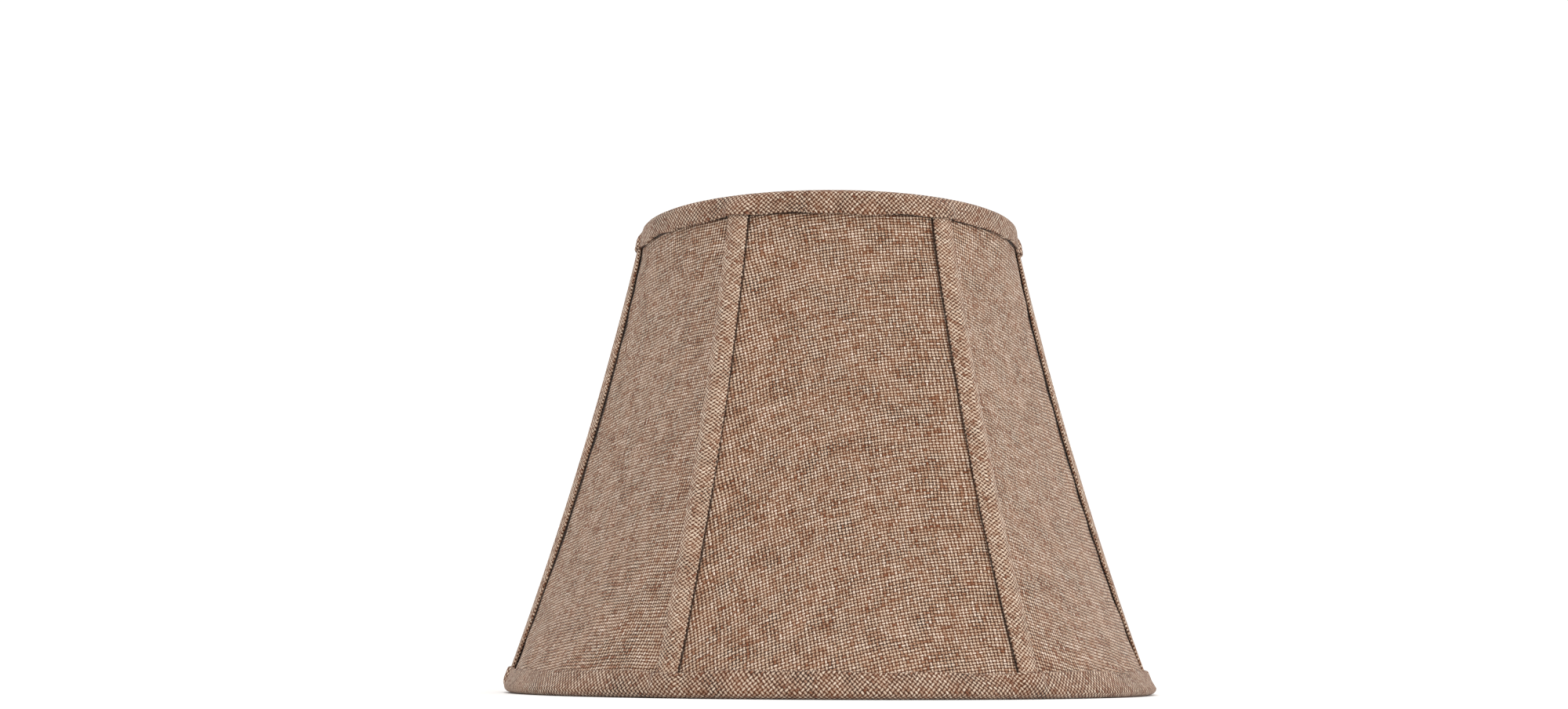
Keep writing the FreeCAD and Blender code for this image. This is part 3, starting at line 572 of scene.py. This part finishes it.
def seam_tape(index):
    """The section is carried up a rib: sideways is along the two panels, up is away from them."""
    rng = np.random.default_rng(200 + index)
    length = float(np.hypot(RISE, BOTTOM_RADIUS - TOP_RADIUS)) * (SEAM_HIGH_END - SEAM_LOW_END)
    steps = int(length / TAPE_STEP)
    share = np.linspace(SEAM_LOW_END, SEAM_HIGH_END, steps)[:, None]
    sideways, up = SEAM_SECTION[None, :, 0], SEAM_SECTION[None, :, 1]
    edge = np.clip(np.abs(sideways) / TAPE_HALF, 0, 1) ** 2
    right, left = scallops(rng, length, steps)[:, None], scallops(rng, length, steps)[:, None]
    sideways = sideways + np.where(sideways > 0, right, -left) * edge
    wander = TAPE_WANDER * smooth_waves(rng, np.linspace(0, length, steps)[:, None], 0.0, 5, 60 * MM)
    reach = corner_radius(share) + SURFACE
    angle = index * STEP + (sideways + wander) / reach
    base = on_cover(angle, share + 0 * angle, SURFACE)
    # Away from the cover means straight out at the rib, and square to a panel beyond it.
    slant = STEP / 2 * (1 - roundness(share)) * np.tanh((sideways + wander) / RIB_BEND)
    outward = index * STEP + slant
    base[..., 0] += up * np.cos(outward)
    base[..., 1] += up * np.sin(outward)
    along = np.linspace(0, length, steps)[:, None] + 0 * sideways
    threads = bias_threads(along_section(SEAM_SECTION)[None, :] + 0 * sideways, along, index * 23 * MM)
    piece = grid_piece(f"seam_tape_{index + 1}", base, threads=threads)
    thicken(piece, TAPE)
    return piece, length


for index in range(RIBS):
    tape, tape_length = seam_tape(index)
    tape.data.materials.append(tape_cloth)
    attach(tape, "shade")
    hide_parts(f"seam_strip_{index + 1}")
print(f"six seam tapes, each {tape_length / MM:.0f} mm long")

# %% [markdown]
# ## The rim bindings
# A wider bias tape is folded round each ring like binding round a book's edge: it starts under its own
# turned-in edge on the outside, runs up the cover, over the wire, and down the lining to a second
# turned-in edge. It is again an open cross-section, this time carried all the way round. On the outside it
# follows the cover, so it is round at the ring and already a little six-sided at its lower edge, and it is
# lifted where it passes over the end of a seam tape. The crossbar leaves the top ring through two
# notches, so the inner fold is cut back there. At the back the tape's end is laid over its start.

# %% Binding section
BINDING_REACH_IN = 2.6 * MM          # from the ring wire's middle to the inner fold
BINDING_LOW, BINDING_HIGH = 0.36 * MM, 0.92 * MM          # its two layers, above the cover or the lining
BINDING_OVER = 1.62 * MM             # how far the tape stands above the ring wire's middle
BINDING_FLAP = 2.6 * MM              # how far the outer edge is turned under
BINDING_STEP = 0.44 * MM             # from one column of points to the next


def binding_section():
    """The binding's cross-section as (down, out, edge): down is measured from the ring along the cover.

    The outer layer turns into the inner one over the wire along half an ellipse. edge is +1 at the outer
    fold, -1 at the inner fold and 0 between them.
    """
    low, high = SURFACE + BINDING_LOW, SURFACE + BINDING_HIGH
    radius = (high - low) / 2
    turn = np.linspace(0, np.pi, 7)
    outer_fold = np.stack([BINDING_REACH - radius + radius * np.sin(turn),
                           low + radius - radius * np.cos(turn), np.ones(7)], axis=1)
    outer_flap = np.array([[BINDING_REACH - radius - BINDING_FLAP, low, 0.3],
                           [BINDING_REACH - 3 * radius, low, 0.8]])
    outer_leaf = np.array([[BINDING_REACH * part, high, part] for part in (0.72, 0.48, 0.24)])
    arc = np.linspace(0, np.pi, 9)
    over = np.stack([-BINDING_OVER * np.sin(arc), high * np.cos(arc), np.zeros(9)], axis=1)
    inner_leaf = np.array([[BINDING_REACH_IN * 0.5, -high, -0.5]])
    inner_fold = np.stack([BINDING_REACH_IN - radius + radius * np.sin(turn),
                           -high + radius - radius * np.cos(turn), -np.ones(7)], axis=1)
    inner_flap = np.array([[BINDING_REACH_IN * 0.3, -low, -0.3]])
    return np.concatenate([outer_flap, outer_fold, outer_leaf, over, inner_leaf, inner_fold, inner_flap])


BINDING_SECTION = binding_section()
BINDING_WIDTH = section_length(BINDING_SECTION[:, :2])
print(f"a binding is cut from a strip {BINDING_WIDTH / MM:.1f} mm wide")

# %% Bindings round the rings
OVER_SEAM = 1.15 * MM                # lift where it passes over the end of a seam tape
OVER_SEAM_HALF, OVER_SEAM_SLOPE = 4.6 * MM, 2.2 * MM      # it ends this far from a rib, and grows over this
OVER_SEAM_FROM, OVER_SEAM_IN = -0.6 * MM, 2.4 * MM        # down the cover it begins here, grows over this
NOTCH_HALF = 3.4 * MM                # half of the notch for the crossbar
NOTCH_RISE = 0.75 * MM               # how far the notch's edge stands above the ring wire's middle
CUT_SLOPE = 1.0 * MM                 # over which a notch or a pressed stretch begins
EDGE_WANDER = 0.16 * MM              # how unevenly the outer fold was glued
WAVE_COUNTS = (5, 8, 13, 21)         # waves round the ring that make up that unevenness
LAP_ANGLE = np.radians(83.0)         # the laps are at the back of the shade, between two ribs
LAP_LENGTH = 9.0 * MM
LAP_LIFT = 0.36 * MM                 # the lap lies this much further out than the tape under it
LAP_PRESSED = 0.24                   # share of its height that the tape loses under the bottom lap
LAP_SLANT = 0.6                      # the lap's ends run this far along the ring for each step across it


def smooth_step(value):
    """An S-curve from 0 to 1: three times the square less twice the cube."""
    value = np.clip(value, 0, 1)
    return value * value * (3 - 2 * value)


def rim_binding(name, end, start_angle, turn, lift=0.0, notched=False):
    """The section carried round a ring: end is -1 at the bottom ring and +1 at the top ring.

    A turn of a whole circle makes a closed binding, and less makes a lap with ends cut on the slant.
    """
    rng = np.random.default_rng(300 + end)
    ring_radius = TOP_RADIUS if end > 0 else BOTTOM_RADIUS
    closed = turn >= 2 * np.pi
    length = ring_radius * turn
    columns = int(length / BINDING_STEP)
    down, out, edge = (BINDING_SECTION[None, :, k] for k in range(3))
    along = np.linspace(0, length, columns, endpoint=not closed)[:, None]
    across = along_section(BINDING_SECTION[:, :2])[None, :]
    if not closed:
        along = along + LAP_SLANT * (across - BINDING_WIDTH / 2)
    angle = start_angle + along / ring_radius + 0 * down
    phases = rng.uniform(0, 2 * np.pi, len(WAVE_COUNTS))
    waves = sum(np.sin(k * angle + phase) for k, phase in zip(WAVE_COUNTS, phases))
    count = round(ring_radius * 2 * np.pi / SCALLOP_PITCH)
    teeth = np.sin(count * angle + 1.2 * waves) * (1 + 0.4 * np.sin(17 * angle))
    down = down + edge * (EDGE_WANDER * waves * np.clip(edge, 0, 1) + SCALLOP * teeth * np.abs(edge) ** 3)
    if notched:
        from_bar = np.abs((angle + np.pi / 2) % np.pi - np.pi / 2) * ring_radius
        cut = smooth_step((from_bar - NOTCH_HALF) / CUT_SLOPE)
        folded_up = down * (0.02 + 0.98 * cut) - NOTCH_RISE * (1 - cut)
        down = np.where((out < 0) & (down > 0), folded_up, down)
    if closed and end < 0:
        # The shade stands on this edge, so the tape's start is pressed flat under the lap.
        into_lap = (angle - LAP_ANGLE) % (2 * np.pi) * ring_radius
        past_lap = LAP_LENGTH + CUT_SLOPE - into_lap
        pressed = smooth_step(into_lap / CUT_SLOPE) * smooth_step(past_lap / CUT_SLOPE)
        down = np.where(down < 0, down * (1 - LAP_PRESSED * pressed), down)
    from_rib = np.abs((angle + STEP / 2) % STEP - STEP / 2) * ring_radius
    near_rib = smooth_step((OVER_SEAM_HALF - from_rib) / OVER_SEAM_SLOPE)
    past_wire = smooth_step((down - OVER_SEAM_FROM) / OVER_SEAM_IN)
    out = out + np.where(out > 0, OVER_SEAM * near_rib * past_wire, 0) + lift * np.sign(out)
    share = np.clip(down, 0, None) / RISE if end < 0 else 1 - np.clip(down, 0, None) / RISE
    points = on_cover(angle, share, out)
    # A lap also lies over the rim, except at the bottom, where the shade stands on it.
    points[..., 2] += np.where(down < 0, -end * (down - lift * (end > 0)), 0)
    threads = bias_threads(across + 0 * along, along + 0 * across, 41 * MM * end)
    if closed:
        once_round = bias_threads(0, length, 0) - bias_threads(0, 0, 0)
        threads = np.concatenate([threads, threads[:1] + once_round])
    if end > 0:
        points, threads = points[:, ::-1], threads[:, ::-1]
    piece = grid_piece(name, points, closed=closed, threads=threads)
    thicken(piece, TAPE)
    return piece, length


binding_cloth = woven_cloth("homespun_linen_binding", BINDING_YARN_SPACING, TAPE_TONES, depth=0.85,
                            bump=0.8)
for end, rim in ((-1, "bottom"), (1, "top")):
    ring_radius = TOP_RADIUS if end > 0 else BOTTOM_RADIUS
    binding, binding_length = rim_binding(f"{rim}_binding", end, LAP_ANGLE, 2 * np.pi, notched=end > 0)
    lap, _ = rim_binding(f"{rim}_binding_lap", end, LAP_ANGLE, LAP_LENGTH / ring_radius, lift=LAP_LIFT)
    for piece in (binding, lap):
        piece.data.materials.append(binding_cloth)
        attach(piece, "shade")
    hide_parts(f"{rim}_trim")
    print(f"{rim} binding: {binding_length / MM:.0f} mm once round, and a lap of {LAP_LENGTH / MM:.0f} mm")

# %% [markdown]
# ## The lining
# A smooth off-white cloth is stretched inside the ribs. It hides the wires from below and throws the
# light back out. It has the cover's shape, so the same surface makes it, a little inside the wires. Its
# weave is far too fine to show at its real 0.3 mm, so it is drawn at three times that.

# %% Lining
LINING_ENDS = (0.0095, 0.9905)       # shares of the height, at the bindings' inner folds
LINING_COLUMNS, LINING_ROWS = 64, 100
LINING_EDGE = 0.2 * MM               # each panel stops this far from the middle of its ribs
LINING_PUCKER = 0.25 * MM            # height of its puckers
LINING_PUCKER_START, LINING_PUCKER_FADE = 5 * MM, 15 * MM       # the same measures as the cover's
LINING_PUCKER_WAVES, LINING_PUCKER_FINEST = 20, 12 * MM
LINING_YARN_SPACING = 0.9 * MM       # 0.3 mm in the real cloth, drawn coarser so that it shows


def lining_cotton():
    """Fine bleached cotton: an even weave, slightly warm, with a soft unevenness in its tone."""
    material, tree, output = new_material("fine_cotton_lining")
    place = add(tree, "ShaderNodeUVMap", uv_map="threads")
    # A wave texture of scale 1 turns through 20 radians in a metre.
    bands = 2 * np.pi / (20 * LINING_YARN_SPACING)
    rows, columns = (
        add(tree, "ShaderNodeTexWave", {"Vector": place.outputs["UV"], "Scale": bands, "Distortion": 0.6},
            wave_type="BANDS", bands_direction=direction) for direction in ("X", "Y"))
    weave = add(tree, MATH, {0: rows.outputs["Fac"], 1: columns.outputs["Fac"]}, operation="ADD")
    cloudy = add(tree, "ShaderNodeTexNoise", {"Vector": place.outputs["UV"], "Scale": 45.0, "Detail": 3.0})
    tone = add(tree, "ShaderNodeMix", {"Factor": cloudy.outputs["Fac"], "A": linear("#e4dbc8"),
                                       "B": linear("#f1ebdc")}, data_type="RGBA")
    threads = add(tree, "ShaderNodeMapRange", {"Value": weave.outputs[0], "From Min": 0.2, "From Max": 1.6,
                                               "To Min": 0.90, "To Max": 1.0})
    cloth = add(tree, "ShaderNodeMix", {"Factor": 1.0, "A": tone.outputs["Result"], "B": threads.outputs[0]},
                data_type="RGBA", blend_type="MULTIPLY")
    relief = add(tree, "ShaderNodeBump", {"Height": weave.outputs[0], "Distance": 0.05 * MM, "Strength": 0.5})
    surface = add(tree, "ShaderNodeBsdfPrincipled", {
        "Base Color": cloth.outputs["Result"], "Roughness": 0.8, "Sheen Weight": 0.15,
        "Normal": relief.outputs["Normal"]})
    tree.links.new(surface.outputs["BSDF"], output.inputs["Surface"])
    return material


def lining_panel(index):
    """The cover's surface again, inside the wires, with slightly deeper puckers beside the ribs."""
    rng = np.random.default_rng(400 + index)
    edge = LINING_EDGE / BOTTOM_RADIUS
    side = np.linspace(0, 1, LINING_COLUMNS)[:, None]
    share = np.linspace(*LINING_ENDS, LINING_ROWS)[None, :]
    angle = index * STEP + edge + (STEP - 2 * edge) * side + 0 * share
    half = corner_radius(share) * np.sin(STEP / 2)
    flat_x, flat_y = (2 * side - 1) * half, share * RISE + 0 * side
    glued = np.minimum(side, 1 - side) * 2 * half
    loose = np.clip(glued / LINING_PUCKER_START, 0, 1) * np.exp(-glued / LINING_PUCKER_FADE)
    waves = smooth_waves(rng, flat_x, flat_y, LINING_PUCKER_WAVES, LINING_PUCKER_FINEST)
    pucker = waves * loose * LINING_PUCKER
    points = on_cover(angle, share + 0 * angle, -(CLOTH_GAP + CLOTH / 2) - np.abs(pucker))
    piece = grid_piece(f"lining_panel_{index + 1}", points, threads=np.stack([flat_x, flat_y], axis=-1))
    thicken(piece, CLOTH)
    return piece


cotton = lining_cotton()
for index in range(RIBS):
    lining = lining_panel(index)
    lining.data.materials.append(cotton)
    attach(lining, "shade")
    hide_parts(f"lining_{index + 1}")
print("six lining panels")

# %% [markdown]
# ## Metal
# The wires, the crossbar and the clip keep the design's own shapes, and only their finish is set here. The
# frame is steel wire under white powder coat, whose baked powder leaves a faint orange-peel surface. The
# saddle and its rivet are pressed brass, dulled by handling. The loops are drawn spring steel, which
# keeps fine lines along the wire from the die it was pulled through.

# %% Metal finishes
def powder_coat():
    """White powder coat on steel: not a metal to the eye, half glossy, with an orange-peel bump."""
    material, tree, output = new_material("white_powder_coat")
    place = add(tree, "ShaderNodeTexCoord")
    peel = add(tree, "ShaderNodeTexNoise", {"Vector": place.outputs["Object"], "Scale": 900.0, "Detail": 2.0})
    worn = add(tree, "ShaderNodeTexNoise", {"Vector": place.outputs["Object"], "Scale": 60.0, "Detail": 5.0})
    tone = add(tree, "ShaderNodeMix", {"Factor": worn.outputs["Fac"], "A": linear("#cdc9bf"),
                                       "B": linear("#e0dcd3")}, data_type="RGBA")
    relief = add(tree, "ShaderNodeBump", {"Height": peel.outputs["Fac"], "Distance": 0.04 * MM,
                                          "Strength": 0.5})
    surface = add(tree, "ShaderNodeBsdfPrincipled", {
        "Base Color": tone.outputs["Result"], "Roughness": 0.38, "Normal": relief.outputs["Normal"]})
    tree.links.new(surface.outputs["BSDF"], output.inputs["Surface"])
    return material


def bare_metal(name, bright, dull, low_rough, high_rough, lines):
    """A bare metal: its tone and roughness vary in the same patches, and lines are the tool's marks.

    lines is how many times finer the marks are along X, Y and Z.
    """
    material, tree, output = new_material(name)
    place = add(tree, "ShaderNodeTexCoord")
    patches = add(tree, "ShaderNodeTexNoise", {"Vector": place.outputs["Object"], "Scale": 220.0,
                                               "Detail": 4.0})
    stretched = add(tree, "ShaderNodeMapping", {"Vector": place.outputs["Object"], "Scale": lines})
    marks = add(tree, "ShaderNodeTexNoise", {"Vector": stretched.outputs["Vector"], "Scale": 400.0,
                                             "Detail": 2.0})
    tone = add(tree, "ShaderNodeMix", {"Factor": patches.outputs["Fac"], "A": linear(dull),
                                       "B": linear(bright)}, data_type="RGBA")
    rough = add(tree, "ShaderNodeMapRange", {
        "Value": patches.outputs["Fac"], "From Min": 0.3, "From Max": 0.7, "To Min": high_rough,
        "To Max": low_rough})
    relief = add(tree, "ShaderNodeBump", {"Height": marks.outputs["Fac"], "Distance": 0.02 * MM,
                                          "Strength": 0.4})
    surface = add(tree, "ShaderNodeBsdfPrincipled", {
        "Base Color": tone.outputs["Result"], "Metallic": 1.0, "Roughness": rough.outputs[0],
        "Normal": relief.outputs["Normal"]})
    tree.links.new(surface.outputs["BSDF"], output.inputs["Surface"])
    return material


def finish_nodes(names, material):
    """Give the frame's own pieces a finish, without touching their meshes."""
    for name in names:
        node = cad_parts[name]
        node.data.materials.clear()
        node.data.materials.append(material)


FRAME_PIECES = [f"rib_{index + 1}" for index in range(RIBS)] + ["bottom_ring", "top_ring", "crossbar"]
BRASS_PIECES = ["clip_saddle", "clip_rivet"]
LOOPS = ["clip_loop_right", "clip_loop_left"]
finish_nodes(FRAME_PIECES, powder_coat())
finish_nodes(BRASS_PIECES, bare_metal("pressed_brass", "#d9b46a", "#a8813f", 0.28, 0.5, (1, 12, 12)))
finish_nodes(LOOPS, bare_metal("drawn_spring_steel", "#c3c4c6", "#8f9093", 0.22, 0.4, (8, 1, 1)))
print("metal finishes on", len(FRAME_PIECES + BRASS_PIECES + LOOPS), "pieces")
